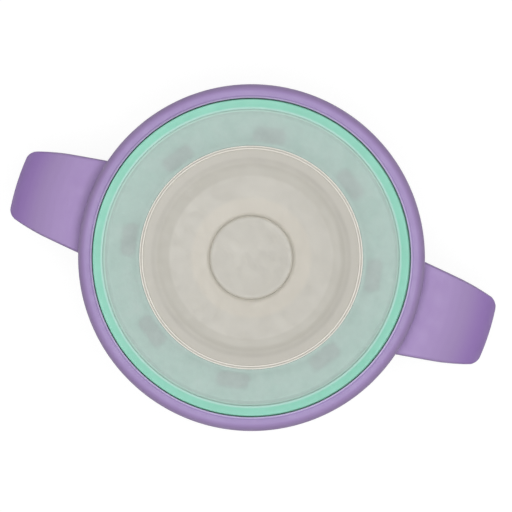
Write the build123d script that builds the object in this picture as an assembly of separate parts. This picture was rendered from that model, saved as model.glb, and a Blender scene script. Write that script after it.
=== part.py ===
from build123d import *
import math
import os

# A training cup, from the table up: a tumbler with a screw neck, a ring with two handles
# dropped over the neck, and a lid. The lid is a screw collar, a drinking rim with its gasket,
# and a round valve that is pushed into the rim: a soft membrane held by a stiff hub.
# Sizes are in millimetres and degrees. The origin is on the table under the middle of the
# cup, +Z is up, and +X runs through one handle.

# Gaps between pieces
seat_gap = 0.2
slip_gap = 0.3
thread_gap = 0.4
plug_gap = 0.1
lip_gap = 0.8

# Tumbler
body_height = 71.0
wall = 2.0
base_radius = 30.6
foot_width = 8.6
foot_recess = 1.5
heel_round = 6.0
shoulder_inset = 0.8
shoulder_drop = 5.5
ledge_edge = 2.2
ledge_inset = 0.8
neck_radius = 40.3
neck_edge_round = 0.6
guide_rib_count = 8
guide_rib_width = 2.4
guide_rib_drop = 1.5

# Room between the neck and the collar for a coarse screw thread
thread_depth = 1.1

# Ring with two handles
band_height = 9.0
band_wall = 2.7
band_edge_round = 0.8
handle_reach = 64.9
handle_thickness = 5.6
handle_edge_cut = 1.5
handle_root_sink = 0.2
handle_root_drop = 4.1
handle_crest_rise = 2.7
handle_bend_round = 12.9
handle_curl_height = 28.0
handle_curl_round = 36.0
handle_drop = 40.0
handle_curl = 5.2
handle_root_half_width = 13.1
handle_tip_half_width = 9.0

# Collar
collar_overlap = 11.5
collar_wall = 2.6
collar_top_thickness = 2.6
collar_edge_round = 1.9
snap_lug_count = 6
snap_lug_width = 9.0
snap_lug_depth = 0.6
snap_lug_height = 1.3

# Gasket
gasket_thickness = 1.4

# Drinking rim
lip_setback = 0.25
lip_wall = 2.1
lip_height = 10.1
lip_edge_round = 0.95
flange_thickness = 1.8
skirt_wall = 1.5
skirt_depth = 2.6
dish_depth = 6.3
floor_thickness = 1.5
dish_width = 11.45
bore_wall = 1.4
bore_depth = 4.0
window_count = 8
window_turn = 9.2
window_setback = 1.9
window_length = 3.4
window_half_width = 3.95
window_slant = 1.3
rib_thickness = 1.2
rib_depth = 2.6

# Valve membrane
membrane_thickness = 1.2
membrane_crown_width = 2.8
membrane_crown_rise = 1.1
membrane_edge_thickness = 0.9

# Valve hub
hub_overlap = 2.0
hub_thickness = 1.5
hub_bead_width = 0.8
hub_bead_rise = 0.35
hub_rim_width = 5.3
hub_shelf_drop = 0.8
hub_dish_drop = 1.0
hub_dish_flats = 3
hub_dish_thickness = 1.2
hub_plug_wall = 1.5
hub_plug_depth = 5.2

# Heights of the stacked pieces
ledge_top = body_height
band_bottom = ledge_top + seat_gap
band_top = band_bottom + band_height
collar_bottom = band_top + slip_gap
mouth_top = collar_bottom + collar_overlap
gasket_bottom = mouth_top + seat_gap
flange_bottom = gasket_bottom + gasket_thickness
flange_top = flange_bottom + flange_thickness
collar_top = flange_top + slip_gap + collar_top_thickness
lip_top = flange_top + lip_height
floor_top = lip_top - dish_depth
floor_bottom = floor_top - floor_thickness
membrane_seat = floor_top + slip_gap
hub_seat = membrane_seat + membrane_thickness

# Radii that follow from the neck, the lip and the bore
foot_inner_radius = base_radius - foot_width
mouth_radius = neck_radius - wall
guide_rib_radius = neck_radius + thread_depth
collar_bore_radius = guide_rib_radius + thread_gap
collar_radius = collar_bore_radius + collar_wall
lip_radius = neck_radius - lip_setback
lip_inner_radius = lip_radius - lip_wall
collar_hole_radius = lip_radius + lip_gap
flange_radius = collar_bore_radius - slip_gap
skirt_radius = mouth_radius - slip_gap
band_bore_radius = guide_rib_radius + slip_gap
band_radius = band_bore_radius + band_wall
ledge_radius = band_radius - ledge_inset
shoulder_radius = neck_radius - shoulder_inset
shoulder_height = body_height - shoulder_drop
bore_radius = lip_inner_radius - dish_width
bore_outer_radius = bore_radius + bore_wall
window_inner_radius = bore_outer_radius + window_setback
window_outer_radius = window_inner_radius + window_length
plug_radius = bore_radius - plug_gap
hub_edge_radius = bore_radius + hub_overlap
hub_dish_radius = hub_edge_radius - hub_rim_width
membrane_radius = lip_inner_radius - plug_gap
membrane_crown_radius = (hub_edge_radius + membrane_radius) / 2


def softened(points, rounds):
    """Round some corners of an outline. rounds maps a corner's index to (radius, flats)."""
    outline = []
    for index, corner in enumerate(points):
        if index not in rounds:
            outline.append(corner)
            continue
        radius, flats = rounds[index]
        here = Vector(*corner)
        before = (Vector(*points[index - 1]) - here).normalized()
        after = (Vector(*points[(index + 1) % len(points)]) - here).normalized()
        half_angle = math.radians(before.get_angle(after) / 2)
        centre = here + (before + after).normalized() * (radius / math.sin(half_angle))
        start = here + before * (radius / math.tan(half_angle)) - centre
        end = here + after * (radius / math.tan(half_angle)) - centre
        turn = math.atan2(start.X * end.Y - start.Y * end.X, start.dot(end))
        first = math.atan2(start.Y, start.X)
        for step in range(flats + 1):
            angle = first + turn * step / flats
            outline.append((centre.X + radius * math.cos(angle), centre.Y + radius * math.sin(angle)))
    return outline


def turned(points, rounds=None):
    """Turn a closed outline of (radius, height) points about Z, with some corners rounded."""
    corners = [(radius, 0, height) for radius, height in softened(points, rounds or {})]
    return revolve(make_face(Polyline(*corners, close=True)), axis=Axis.Z)


def plan_prism(points, bottom, top):
    """A straight-sided block over a plan outline, from one height to another."""
    outline = make_face(Polyline(*points, close=True))
    return Pos(0, 0, bottom) * extrude(outline, amount=top - bottom)


def radial_bar(inner_radius, outer_radius, width, bottom, top):
    """A bar on +X between two radii."""
    half = width / 2
    corners = [(inner_radius, -half), (outer_radius, -half), (outer_radius, half), (inner_radius, half)]
    return plan_prism(corners, bottom, top)


def spread(piece, count, first_angle=0):
    """Copies of a piece, evenly round the axis."""
    return [Rot(0, 0, first_angle + 360 * index / count) * piece for index in range(count)]


def wall_radius(height):
    """Outside radius of the tumbler's side, straight from its base to its shoulder."""
    return base_radius + (shoulder_radius - base_radius) * height / shoulder_height


def beside(line, distance):
    """The corners of a bent line moved sideways, to its left if the distance is positive."""
    moved = []
    for index, corner in enumerate(line):
        before = line[max(index - 1, 0)]
        after = line[min(index + 1, len(line) - 1)]
        along_in = (corner - before).normalized() if index else (after - corner).normalized()
        along_out = (after - corner).normalized() if index < len(line) - 1 else along_in
        across_in = Vector(-along_in.Y, along_in.X)
        across_out = Vector(-along_out.Y, along_out.X)
        moved.append(corner + (across_in + across_out) * (distance / (1 + across_in.dot(across_out))))
    return moved


def cup_body():
    """The tumbler: foot, tapered side, ledge for the handle ring, and neck with guide ribs."""
    floor_height = foot_recess + wall
    outside = [
        (0, foot_recess),
        (foot_inner_radius - foot_recess, foot_recess),
        (foot_inner_radius, 0),
        (base_radius, 0),
        (shoulder_radius, shoulder_height),
        (ledge_radius, ledge_top - ledge_edge),
        (ledge_radius, ledge_top),
        (neck_radius, ledge_top),
        (neck_radius, mouth_top),
    ]
    inside = [
        (mouth_radius, mouth_top),
        (mouth_radius, ledge_top),
        (wall_radius(floor_height) - wall, floor_height),
        (0, floor_height),
    ]
    heel = 3
    mouth_edge = 8
    inner_heel = 11
    rounds = {
        heel: (heel_round, 2),
        mouth_edge: (neck_edge_round, 1),
        inner_heel: (heel_round - wall, 1),
    }
    body = turned(outside + inside, rounds)
    guide_rib = radial_bar(
        neck_radius - wall / 2,
        guide_rib_radius,
        guide_rib_width,
        ledge_top - ledge_edge / 2,
        band_top - guide_rib_drop,
    )
    return body + spread(guide_rib, guide_rib_count)


def handle():
    """One handle on +X: an arched strap turned about the cup and trimmed to a tapered plan."""
    root_height = band_top - handle_root_drop
    crest_height = root_height + handle_crest_rise
    centre_radius = handle_reach - handle_thickness / 2
    root = band_bore_radius + handle_root_sink
    centre_line = [
        Vector(root - handle_thickness, root_height),
        Vector(centre_radius, crest_height),
        Vector(centre_radius, crest_height - handle_curl_height),
        Vector(centre_radius - handle_curl, crest_height - handle_drop),
    ]
    half = handle_thickness / 2
    outer = beside(centre_line, half)
    inner = beside(centre_line, -half)
    outer_rounds = [0, handle_bend_round + half, handle_curl_round + half, 0]
    inner_rounds = [0, handle_curl_round - half, handle_bend_round - half, 0]
    corners = [(point.X, 0, point.Y) for point in outer + inner[::-1]]
    side_view = make_face(FilletPolyline(*corners, radius=outer_rounds + inner_rounds, close=True))
    half_turn = 2 * math.degrees(math.atan(handle_root_half_width / root))
    strap = revolve(Rot(0, 0, -half_turn) * side_view, axis=Axis.Z, revolution_arc=2 * half_turn)
    plan = [
        (root, -handle_root_half_width),
        (handle_reach + 1, -handle_tip_half_width),
        (handle_reach + 1, handle_tip_half_width),
        (root, handle_root_half_width),
    ]
    strap = strap & plan_prism(plan, crest_height - 2 * handle_drop, crest_height + handle_drop)
    tail = strap.faces().sort_by(Axis.Z)[0]
    open_edges = list(tail.edges())
    for face in strap.faces():
        if abs(face.normal_at().Y) > 0.9:
            open_edges += [edge for edge in face.edges() if edge.bounding_box().max.X > band_radius]
    return chamfer(ShapeList(set(open_edges)), handle_edge_cut)


def handle_ring():
    """The ring that drops over the neck, with the two handles grown out of it."""
    upper_edge = 2
    band = turned(
        [
            (band_bore_radius, band_bottom),
            (band_radius, band_bottom),
            (band_radius, band_top),
            (band_bore_radius, band_top),
        ],
        {upper_edge: (band_edge_round, 1)},
    )
    return band + spread(handle(), 2)


def collar():
    """The screw collar: skirt, snap lugs under the flange, and a top with a round hole."""
    outline = [
        (collar_bore_radius, collar_bottom),
        (collar_radius, collar_bottom),
        (collar_radius, collar_top),
        (collar_hole_radius, collar_top),
        (collar_hole_radius, flange_top + slip_gap),
        (collar_bore_radius, flange_top + slip_gap),
    ]
    top_edge = 2
    body = turned(outline, {top_edge: (collar_edge_round, 2)})
    lug_top = flange_bottom - slip_gap
    snap_lug = radial_bar(
        collar_bore_radius - snap_lug_depth,
        collar_bore_radius + collar_wall / 2,
        snap_lug_width,
        lug_top - snap_lug_height,
        lug_top,
    )
    return body + spread(snap_lug, snap_lug_count)


def rim_gasket():
    """The flat sealing ring between the mouth of the tumbler and the flange of the rim."""
    return turned(
        [
            (skirt_radius, gasket_bottom),
            (neck_radius, gasket_bottom),
            (neck_radius, flange_bottom),
            (skirt_radius, flange_bottom),
        ]
    )


def flow_window(slanted_side):
    """Cutter for one flow window on +X. slanted_side is 1, -1 or 0 for a plain rectangle."""
    upper_slant = window_slant / 2 if slanted_side > 0 else 0
    lower_slant = window_slant / 2 if slanted_side < 0 else 0
    plan = [
        (window_inner_radius, -window_half_width - lower_slant),
        (window_outer_radius, -window_half_width + lower_slant),
        (window_outer_radius, window_half_width - upper_slant),
        (window_inner_radius, window_half_width + upper_slant),
    ]
    return plan_prism(plan, floor_bottom - rib_depth, floor_top + floor_thickness)


def drinking_rim():
    """The insert: lip, flange, skirt, and a ribbed floor with a bore and flow windows."""
    skirt_inner_radius = skirt_radius - skirt_wall
    outline = [
        (bore_radius, floor_top),
        (bore_radius, floor_top - bore_depth),
        (bore_outer_radius, floor_top - bore_depth),
        (bore_outer_radius, floor_bottom),
        (skirt_inner_radius, floor_bottom),
        (skirt_inner_radius, mouth_top - skirt_depth),
        (skirt_radius, mouth_top - skirt_depth),
        (skirt_radius, flange_bottom),
        (flange_radius, flange_bottom),
        (flange_radius, flange_top),
        (lip_radius, flange_top),
        (lip_radius, lip_top),
        (lip_inner_radius, lip_top),
        (lip_inner_radius, floor_top),
    ]
    lip_outer_edge = 11
    lip_inner_edge = 12
    rounds = {lip_outer_edge: (lip_edge_round, 2), lip_inner_edge: (lip_edge_round, 2)}
    body = turned(outline, rounds)
    rib = radial_bar(
        bore_outer_radius - bore_wall / 2,
        skirt_inner_radius + skirt_wall / 2,
        rib_thickness,
        floor_bottom - rib_depth,
        floor_bottom + floor_thickness / 2,
    )
    body += spread(rib, window_count, window_turn + 180 / window_count)
    slants = (-1, 0, 1, 0)
    for index in range(window_count):
        cutter = flow_window(slants[index % len(slants)])
        body -= Rot(0, 0, window_turn + 360 * index / window_count) * cutter
    return body


def crown_line(lift, first_radius, last_radius, last_height):
    """Points over the crown of the membrane: a slope up, the level crown and a slope down."""
    crown_height = hub_seat + membrane_crown_rise + lift
    return [
        (first_radius, hub_seat + lift),
        (membrane_crown_radius - membrane_crown_width / 2, crown_height),
        (membrane_crown_radius + membrane_crown_width / 2, crown_height),
        (last_radius, last_height),
    ]


def valve_membrane():
    """The soft valve ring: flat under the hub, crowned over the windows, thin at its edge."""
    top_start = hub_edge_radius + slip_gap
    edge_top = membrane_seat + membrane_edge_thickness
    top = crown_line(0, top_start, membrane_radius, edge_top)
    under_end = membrane_radius - membrane_edge_thickness
    under = crown_line(-membrane_thickness, top_start + slip_gap, under_end, membrane_seat)
    outline = [(plug_radius, membrane_seat), (plug_radius, hub_seat)]
    outline += top
    outline.append((membrane_radius, membrane_seat))
    outline += reversed(under)
    return turned(outline)


def valve_hub():
    """The stiff middle of the valve: edge bead, shallow dish, and a plug for the bore."""
    edge_top = hub_seat + hub_thickness - hub_bead_rise
    shelf = edge_top - hub_shelf_drop
    underside = shelf - hub_dish_drop - hub_dish_thickness
    plug_inner_radius = plug_radius - hub_plug_wall
    plug_bottom = hub_seat - hub_plug_depth
    dish = []
    for step in range(1, hub_dish_flats + 1):
        share = step / hub_dish_flats
        dish.append((hub_dish_radius * share, shelf - hub_dish_drop * (1 - share**2)))
    dish_middle = (0, dish[0][1])
    rim = [
        (hub_edge_radius - hub_bead_width, edge_top),
        (hub_edge_radius - hub_bead_width / 2, edge_top + hub_bead_rise),
        (hub_edge_radius, edge_top),
        (hub_edge_radius, hub_seat),
        (plug_radius, hub_seat),
        (plug_radius, plug_bottom),
        (plug_inner_radius, plug_bottom),
        (plug_inner_radius, underside),
        (0, underside),
    ]
    return turned([dish_middle] + dish + rim)


pieces = {
    "cup_body": cup_body,
    "handle_ring": handle_ring,
    "collar": collar,
    "rim_gasket": rim_gasket,
    "drinking_rim": drinking_rim,
    "valve_membrane": valve_membrane,
    "valve_hub": valve_hub,
}

os.makedirs("parts", exist_ok=True)
for name, make in pieces.items():
    piece = make()
    export_step(piece, os.path.join("parts", name + ".step"))
    size = piece.bounding_box().size
    print(f"{name}: {size.X:.1f} x {size.Y:.1f} x {size.Z:.1f} mm, {piece.volume / 1000:.2f} cm3")
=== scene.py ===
# %% [markdown]
# This lesson dresses a training cup for a small child. The cup has seven pieces: a tumbler,
# a ring with two handles, a screw collar, a gasket, a drinking rim, and a round valve made of
# a soft skin and a stiff disc. The CAD frame already holds every piece at its real size and
# place, so it is loaded first, and each piece made here takes its place from it.

# %% Load the frame
import math
from functools import partial

import bmesh
import bpy
from mathutils import Matrix, Vector


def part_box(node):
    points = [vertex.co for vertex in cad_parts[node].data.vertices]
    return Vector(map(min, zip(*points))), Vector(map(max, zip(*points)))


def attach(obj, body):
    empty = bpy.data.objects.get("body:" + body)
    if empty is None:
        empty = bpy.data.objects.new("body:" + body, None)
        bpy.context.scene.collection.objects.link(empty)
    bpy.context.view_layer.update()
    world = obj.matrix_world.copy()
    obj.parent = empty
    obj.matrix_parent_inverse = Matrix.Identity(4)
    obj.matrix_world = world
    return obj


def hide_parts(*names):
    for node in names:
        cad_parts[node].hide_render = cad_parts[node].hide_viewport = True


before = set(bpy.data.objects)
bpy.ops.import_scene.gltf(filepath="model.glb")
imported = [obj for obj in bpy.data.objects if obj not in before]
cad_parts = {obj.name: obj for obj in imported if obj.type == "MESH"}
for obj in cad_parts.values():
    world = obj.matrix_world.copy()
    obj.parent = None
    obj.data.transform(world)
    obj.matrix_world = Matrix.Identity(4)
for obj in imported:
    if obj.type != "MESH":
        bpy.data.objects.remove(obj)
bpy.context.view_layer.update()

mm = 0.001

# %% [markdown]
# Blender works in metres, but a cup is easier to think of in millimetres. All sizes below are
# in millimetres, and are turned into metres only where a mesh or a node needs them. How high
# each piece reaches and how far it stands out are read from the frame.

# %% Sizes that the frame gives


def bottom(node):
    """Lowest point of a CAD node, in millimetres."""
    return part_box(node)[0].z / mm


def top(node):
    """Highest point of a CAD node, in millimetres."""
    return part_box(node)[1].z / mm


def reach(node):
    """How far a round CAD node stands out from the axis, in millimetres."""
    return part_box(node)[1].y / mm


mouth_top = top("cup_body")
lip_top = top("drinking_rim")
collar_top = top("collar")
collar_bottom = bottom("collar")
collar_radius = reach("collar")
neck_radius = reach("rim_gasket")
ledge_radius = reach("cup_body")
hub_radius = reach("valve_hub")
skin_radius = reach("valve_membrane")
handle_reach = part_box("handle_ring")[1].x / mm
print(f"neck {neck_radius:.2f}, collar {collar_radius:.2f}, handles {handle_reach:.2f} mm")

# %% [markdown]
# The camera hangs straight over the cup, a little over a metre away, with a long lens. Two
# facts fix it: how many millimetres a pixel covers at the height of the lip, and where the
# middle of the lip falls. The picture is turned so that one handle points right and slightly
# down, and the camera leans by less than a degree.

# %% Camera
picture_pixels = 512
mm_per_pixel = 0.2536
camera_distance = 1100.0
sensor_width = 36.0
lip_centre_pixel = (250.9, 257.5)
picture_turn = math.radians(17.7)
camera_lean = math.radians(0.68)
lean_direction = math.radians(-12.0)

picture_right = Vector((math.cos(picture_turn), math.sin(picture_turn), 0))
picture_up = Vector((-math.sin(picture_turn), math.cos(picture_turn), 0))


def in_picture(angle):
    """The direction that lies at an angle in the picture."""
    return picture_right * math.cos(angle) + picture_up * math.sin(angle)


def add_object(name, data):
    """A new object in the scene."""
    thing = bpy.data.objects.new(name, data)
    bpy.context.scene.collection.objects.link(thing)
    return thing


def add_camera():
    """A long-lens camera over the lip, turned as the picture is."""
    across = (picture_pixels / 2 - lip_centre_pixel[0]) * mm_per_pixel
    upward = (lip_centre_pixel[1] - picture_pixels / 2) * mm_per_pixel
    aim = Vector((0, 0, lip_top)) + picture_right * across + picture_up * upward
    lean = in_picture(lean_direction) * math.sin(camera_lean)
    back = Vector((0, 0, math.cos(camera_lean))) + lean
    data = bpy.data.cameras.new("overhead")
    data.sensor_width = sensor_width
    data.lens = sensor_width * camera_distance / (picture_pixels * mm_per_pixel)
    camera = add_object("overhead", data)
    camera.location = (aim + back * camera_distance) * mm
    right = (picture_right - back * picture_right.dot(back)).normalized()
    up = back.cross(right)
    camera.rotation_mode = "QUATERNION"
    turn = [[right[row], up[row], back[row]] for row in range(3)]
    camera.rotation_quaternion = Matrix(turn).to_quaternion()
    bpy.context.scene.camera = camera
    return camera


camera = add_camera()
print("lens", round(camera.data.lens, 1), "mm")

# %% [markdown]
# Every node tree below is written with a few small helpers. The first adds a node, sets its
# options, and fills its inputs with plain values or with the outputs of earlier nodes. The
# others stand for the nodes that come up most. A tree then reads from top to bottom.

# %% Helpers that add nodes


def put(tree, kind, inputs=None, **options):
    """Add a node to a tree and fill its inputs, given by name or number."""
    node = tree.nodes.new(kind)
    for option, value in options.items():
        setattr(node, option, value)
    for key, value in (inputs or {}).items():
        socket = node.inputs[key]
        if isinstance(value, bpy.types.NodeSocket):
            tree.links.new(value, socket)
        else:
            socket.default_value = value
    return node


def math_node(tree, operation, *values):
    """A Math node's result for the given operation."""
    return put(tree, "ShaderNodeMath", dict(enumerate(values)), operation=operation).outputs[0]


def blend_values(tree, share, first, second):
    """The first value where share is 0, the second where it is 1."""
    inputs = {"Value": share, "To Min": first, "To Max": second}
    return put(tree, "ShaderNodeMapRange", inputs).outputs["Result"]


def eased(tree, value, start, end, first=0.0, last=1.0):
    """Ease from the first value to the last while the input goes from start to end."""
    inputs = {"Value": value, "From Min": start, "From Max": end, "To Min": first, "To Max": last}
    return put(tree, "ShaderNodeMapRange", inputs, interpolation_type="SMOOTHSTEP").outputs["Result"]


# %% [markdown]
# The light is that of a soft white tent: one lamp high overhead, a little to the lower right
# of the picture, and a world that adds a weak fill from the sides. The lamp is only half a
# metre wide, since a wider one would fill the gap beside the lip, which has to stay dark. To
# the camera, and to rays that gloss or clear plastic send on, the world and the pale floor
# look white. The floor also keeps some matt shading, and with it the cup's soft shadow.

# %% Floor and light
lamp_height = 1700.0
lamp_size = 520.0
lamp_power = 21.3
lamp_offset = 65.0
lamp_direction = math.radians(-50.0)
world_level = 0.10
floor_half_size = 4000.0
floor_grey = 0.8
glow_share = 0.8
glow_strength = 1.12


def white_where_seen(tree):
    """One for rays from the camera, a glossy surface or a clear one, otherwise zero."""
    rays = put(tree, "ShaderNodeLightPath").outputs
    seen = math_node(tree, "MAXIMUM", rays["Is Camera Ray"], rays["Is Glossy Ray"])
    return math_node(tree, "MAXIMUM", seen, rays["Is Transmission Ray"])


def add_floor():
    """A pale matt floor that looks white to the camera."""
    half = floor_half_size * mm
    mesh = bpy.data.meshes.new("floor")
    corners = [(-half, -half, 0), (half, -half, 0), (half, half, 0), (-half, half, 0)]
    mesh.from_pydata(corners, [], [(0, 1, 2, 3)])
    floor = add_object("floor", mesh)
    material = bpy.data.materials.new("pale_floor")
    material.use_nodes = True
    tree = material.node_tree
    tree.nodes.clear()
    share = math_node(tree, "MULTIPLY", white_where_seen(tree), glow_share)
    matt = put(tree, "ShaderNodeBsdfDiffuse", {"Color": (floor_grey, floor_grey, floor_grey, 1)})
    glow = put(tree, "ShaderNodeEmission", {"Color": (1, 1, 1, 1), "Strength": glow_strength})
    mixed = put(tree, "ShaderNodeMixShader", {0: share, 1: matt.outputs[0], 2: glow.outputs[0]})
    put(tree, "ShaderNodeOutputMaterial", {"Surface": mixed.outputs[0]})
    mesh.materials.append(material)


def add_lamp():
    """A soft round lamp that hangs overhead and points at the foot of the cup."""
    data = bpy.data.lights.new("overhead_lamp", "AREA")
    data.shape = "DISK"
    data.size = lamp_size * mm
    data.energy = lamp_power
    lamp = add_object("overhead_lamp", data)
    offset = in_picture(lamp_direction) * lamp_offset
    lamp.location = (offset + Vector((0, 0, lamp_height))) * mm
    lamp.rotation_mode = "QUATERNION"
    lamp.rotation_quaternion = (-lamp.location).to_track_quat("-Z", "Y")


def add_world():
    """A white world that lights weakly and looks white."""
    world = bpy.data.worlds.new("tent")
    world.use_nodes = True
    tree = world.node_tree
    background = tree.nodes["Background"]
    level = blend_values(tree, white_where_seen(tree), world_level, 1.0)
    tree.links.new(level, background.inputs["Strength"])
    background.inputs["Color"].default_value = (1, 1, 1, 1)
    bpy.context.scene.world = world


add_floor()
add_lamp()
add_world()
bpy.context.scene.view_settings.view_transform = "Standard"
print("lamp", lamp_power, "W,", lamp_size, "mm wide, at", lamp_height, "mm; world", world_level)

# %% [markdown]
# The cup has six finishes of three kinds: satin, frosted and veiled. Colours are easiest to
# judge as screen values, so a helper turns those into the linear values that shaders want.
# Moulded plastic is never one flat colour: it has a faint cloudiness, a fine grain from the
# mould, and small changes of gloss, and each finish mixes these at its own strength. A value
# that is the same all over, such as the index of refraction, goes on the shader itself.

# %% Colours and the shared parts of every finish
plastic_index = 1.49
silicone_index = 1.41
cloud_roughness = 0.6
cloud_range = (0.3, 0.7)
noise_range = (0.35, 0.65)
grain_depth = 0.03


def screen(red, green, blue):
    """A linear colour from screen values of 0 to 255."""
    linear = []
    for value in (red, green, blue):
        share = value / 255
        linear.append(share / 12.92 if share <= 0.04045 else ((share + 0.055) / 1.055) ** 2.4)
    return (*linear, 1.0)


def new_finish(name, index, sheen_level):
    """A new material: the material, its tree, its main shader, and its object coordinates."""
    material = bpy.data.materials.new(name)
    material.use_nodes = True
    tree = material.node_tree
    shader = tree.nodes["Principled BSDF"]
    shader.inputs["IOR"].default_value = index
    shader.inputs["Specular IOR Level"].default_value = sheen_level
    place = put(tree, "ShaderNodeTexCoord").outputs["Object"]
    return material, tree, shader, place


def noise(tree, place, blotch, detail=2.0, roughness=0.5):
    """Noise whose blotches are about so many millimetres across."""
    scale = 1 / (blotch * mm)
    inputs = {"Vector": place, "Scale": scale, "Detail": detail, "Roughness": roughness}
    return put(tree, "ShaderNodeTexNoise", inputs).outputs["Fac"]


def clouded(tree, place, shade, light, blotch, detail):
    """A colour that drifts between a darker and a lighter one in soft blotches."""
    cloud = noise(tree, place, blotch, detail, cloud_roughness)
    ramp = put(tree, "ShaderNodeValToRGB", {"Fac": cloud})
    stops = zip(ramp.color_ramp.elements, cloud_range, (shade, light))
    for element, position, colour in stops:
        element.position = position
        element.color = colour
    return ramp.outputs["Color"]


def uneven(tree, cloud, middle, spread):
    """A value that follows noise a little to both sides of its middle."""
    low, high = noise_range
    inputs = {"Value": cloud, "From Min": low, "From Max": high}
    inputs |= {"To Min": middle - spread, "To Max": middle + spread}
    return put(tree, "ShaderNodeMapRange", inputs).outputs["Result"]


def mould_grain(tree, shader, place, grain, strength):
    """Give the shader the fine grain of a mould as a bump."""
    height = noise(tree, place, grain, detail=3.0)
    inputs = {"Height": height, "Distance": grain_depth * mm, "Strength": strength}
    tree.links.new(put(tree, "ShaderNodeBump", inputs).outputs["Normal"], shader.inputs["Normal"])


# %% [markdown]
# Some marks on the cup are rings round its axis: a painted highlight on the collar's bead and
# on the lip's inner edge, painted shade at the ends of the handles, and on the valve a milkier
# thick edge with painted light and shade round it. They could be painted on an image, but a
# ring needs only its distance from the axis. The object coordinates give it, so a mark stays
# on its piece wherever the piece moves.

# %% Marks that follow the distance from the axis


def from_axis(tree, place):
    """Distance from the cup's axis, in millimetres."""
    parts = put(tree, "ShaderNodeSeparateXYZ", {0: place}).outputs
    flat = put(tree, "ShaderNodeCombineXYZ", {"X": parts["X"], "Y": parts["Y"]}).outputs[0]
    length = put(tree, "ShaderNodeVectorMath", {0: flat}, operation="LENGTH").outputs["Value"]
    return math_node(tree, "DIVIDE", length, mm)


def ring_share(tree, radius, inner, outer, soft):
    """One between two radii, falling to zero over a soft width on both sides."""
    rise = eased(tree, radius, inner - soft, inner)
    fall = eased(tree, radius, outer, outer + soft, first=1.0, last=0.0)
    return math_node(tree, "MULTIPLY", rise, fall)


def blend_colours(tree, share, first, second):
    """A mix of two colours, the first of them from a node."""
    mixed = put(tree, "ShaderNodeMix", {"Factor": share}, data_type="RGBA")
    first_socket, second_socket = (socket for socket in mixed.inputs if socket.type == "RGBA")
    tree.links.new(first, first_socket)
    second_socket.default_value = second
    return next(socket for socket in mixed.outputs if socket.type == "RGBA")


# %% [markdown]
# The handles and the collar are one satin lilac plastic, and the drinking rim is mint. The
# lilac is opaque, so a diffuse colour with a soft gloss is enough. A paler ring on the bead
# round its hole is a painted highlight, and the deeper colour at the ends of the handles is
# painted shade, where their surfaces turn away from the lamp. The lip's inner edge has a
# painted highlight too. The mint is waxy: light that enters the lip comes out again near by
# and softens its edges, so here it may travel a millimetre or so under the surface.

# %% Satin plastics


def satin_plastic(name, shade, light, roughness, sheen_level, painted_highlight, held=()):
    """Moulded plastic: cloudy colour, uneven gloss, fine grain, painted highlight and painted shade.
    """
    material, tree, shader, place = new_finish(name, plastic_index, sheen_level)
    colour = clouded(tree, place, shade, light, blotch=9.0, detail=4.0)
    radius = from_axis(tree, place)
    # The held rings are painted shade: deeper colour where a surface turns away from the lamp.
    for start, end, painted_shade_tint in held:
        colour = blend_colours(tree, eased(tree, radius, start, end), colour, painted_shade_tint)
    # The ring of paler colour is a painted highlight.
    inner, outer, soft, pale = painted_highlight
    colour = blend_colours(tree, ring_share(tree, radius, inner, outer, soft), colour, pale)
    tree.links.new(colour, shader.inputs["Base Color"])
    gloss = uneven(tree, noise(tree, place, blotch=3.0), roughness, spread=0.05)
    tree.links.new(gloss, shader.inputs["Roughness"])
    mould_grain(tree, shader, place, grain=0.35, strength=0.25)
    return material


def let_light_in(material, weight, depth):
    """Let some light travel under the surface, about as deep as given in millimetres."""
    inputs = material.node_tree.nodes["Principled BSDF"].inputs
    inputs["Subsurface Weight"].default_value = weight
    inputs["Subsurface Radius"].default_value = (1.0, 1.0, 1.0)
    inputs["Subsurface Scale"].default_value = depth * mm


# A paler ring on the collar's bead: a painted highlight.
painted_highlight_bead = (neck_radius + 0.46, neck_radius + 0.86, 0.05, screen(194, 178, 217))
# Deeper colour towards the handles' ends: painted shade.
painted_shade_ends = [(48.0, 54.0, screen(170, 146, 195)), (56.0, 64.0, screen(166, 130, 204))]
lilac = satin_plastic(
    "lilac_plastic",
    shade=screen(165, 140, 190),
    light=screen(170, 146, 195),
    roughness=0.55,
    sheen_level=0.25,
    painted_highlight=painted_highlight_bead,
    held=painted_shade_ends,
)
# A paler ring on the lip's inner edge: a painted highlight.
painted_highlight_lip_edge = (skin_radius - 0.3, skin_radius + 0.1, 0.5, screen(184, 226, 214))
mint = satin_plastic(
    "mint_plastic",
    shade=screen(143, 211, 189),
    light=screen(148, 216, 195),
    roughness=0.45,
    sheen_level=0.3,
    painted_highlight=painted_highlight_lip_edge,
)
let_light_in(mint, weight=0.5, depth=1.2)
print("satin finishes:", lilac.name, mint.name)

# %% [markdown]
# The tumbler, the valve's disc and the gasket let light through but blur what lies behind.
# Real frosted plastic scatters light on its rough skin and inside. Here a rough transmission
# does the first, and a share of plain diffuse colour the second: the more of it, the milkier
# the piece looks. A list of rings tells how far from the axis its colour and clearness change.
# Where such a piece is thicker, at a bead, it is milkier still, and other rings of the disc
# are painted light and painted shade.

# %% Frosted plastics and clear silicone


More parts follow.
